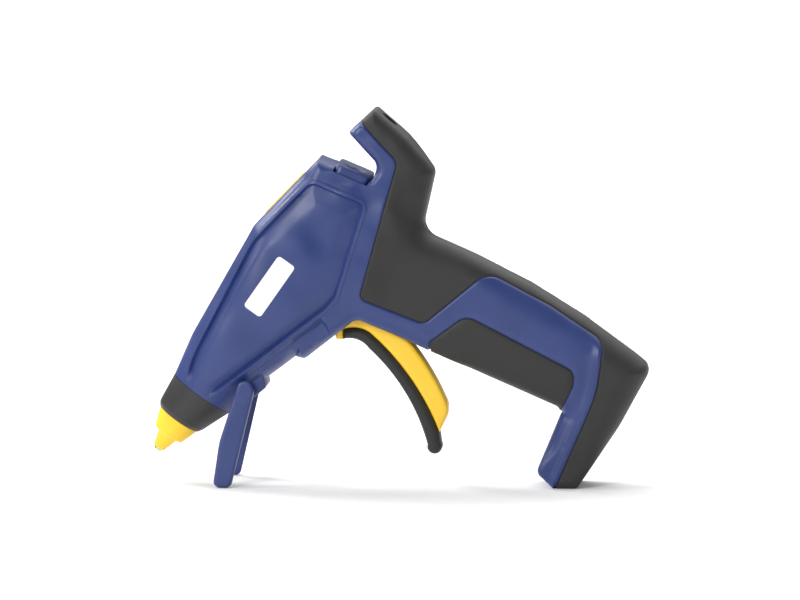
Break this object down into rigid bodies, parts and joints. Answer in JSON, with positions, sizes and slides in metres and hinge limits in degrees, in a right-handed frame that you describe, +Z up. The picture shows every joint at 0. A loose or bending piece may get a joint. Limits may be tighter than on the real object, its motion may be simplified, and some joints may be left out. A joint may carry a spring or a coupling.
{
  "type": "glue gun",
  "caption": "Cordless hot-melt glue gun with a sloping barrel, pull trigger, rubber-covered handle and a folding stand under the nozzle.",
  "frame": {"origin": "on the floor, under the middle of the gun's bounding box", "axes": "+X from the nozzle to the butt of the handle, +Z up, and the left side of the gun faces -Y"},
  "size_m": [0.2087, 0.045, 0.1588],
  "materials": {
    "blue_abs": "fine moulded texture, satin",
    "black_rubber": "soft moulded thermoplastic elastomer",
    "black_plastic": "moulded, matt",
    "yellow_plastic": "moulded, satin",
    "yellow_silicone": "moulded heat-resistant silicone",
    "brass": "turned, nickel plated",
    "cast_aluminium": "die cast",
    "heater_ceramic": "sintered",
    "spring_steel": "drawn wire and strip",
    "steel_pin": "turned",
    "support_plastic": "moulded glass-filled nylon",
    "white_silicone": "moulded silicone",
    "circuit_board": "glass epoxy board with solder mask",
    "cell_wrap": "shrink film over a steel can",
    "socket_steel": "folded sheet steel"
  },
  "bodies": {
    "housing": {"left_shell": "blue_abs", "right_shell": "blue_abs", "inlet_guide": "blue_abs", "left_rear_grip": "black_rubber", "right_rear_grip": "black_rubber", "left_front_grip": "black_rubber", "right_front_grip": "black_rubber", "nose_collar": "black_plastic", "entry_bush": "black_plastic", "nozzle_cover": "yellow_silicone", "nozzle": "brass", "melt_chamber": "cast_aluminium", "heater_element": "heater_ceramic", "heater_clip": "spring_steel", "return_spring": "spring_steel", "front_contact": "spring_steel", "rear_contact": "spring_steel", "trigger_pin": "steel_pin", "housing_screws": "steel_pin", "chamber_rings": "support_plastic", "power_switch": "support_plastic", "inlet_sleeve": "white_silicone", "switch_board": "circuit_board", "control_board": "circuit_board", "battery_cell": "cell_wrap", "charge_socket": "socket_steel"},
    "trigger": {"trigger": "yellow_plastic", "trigger_pad": "black_rubber", "link_pin": "steel_pin"},
    "carriage": {"pusher_carriage": "support_plastic", "gripper_pin": "steel_pin"},
    "jaw": {"gripper_jaw": "support_plastic"},
    "stand": {"stand_left_leg": "blue_abs", "stand_right_leg": "blue_abs", "stand_axle": "steel_pin"},
    "button": {"power_button": "yellow_plastic"}
  },
  "joints": [
    {"name": "trigger_pull", "type": "hinge", "parent": "housing", "child": "trigger", "pos_m": [-0.0209, 0, 0.0725], "axis": [0, -1, 0], "range_deg": [0, 20], "stiffness_Nm_per_rad": 0.12, "springref_deg": -20.05},
    {"name": "pusher_slide", "type": "slide", "parent": "housing", "child": "carriage", "axis": [-0.5736, 0, -0.8192], "range_m": [0, 0.00844], "deforming": ["return_spring"]},
    {"name": "gripper_tilt", "type": "hinge", "parent": "carriage", "child": "jaw", "pos_m": [-0.02744, 0, 0.10394], "axis": [0, 1, 0], "range_deg": [0, 6.1]},
    {"name": "stand_fold", "type": "hinge", "parent": "housing", "child": "stand", "pos_m": [-0.0639, 0, 0.0402], "axis": [0, -1, 0], "range_deg": [0, 139]},
    {"name": "power_button_press", "type": "slide", "parent": "housing", "child": "button", "axis": [0.719, 0, -0.695], "range_m": [0, 0.001], "stiffness_N_per_m": 600}
  ],
  "couplings": [
    {"joint": "pusher_slide", "follows": "trigger_pull", "m_per_rad": 0.02388},
    {"joint": "gripper_tilt", "follows": "trigger_pull", "ratio": 0.3}
  ]
}
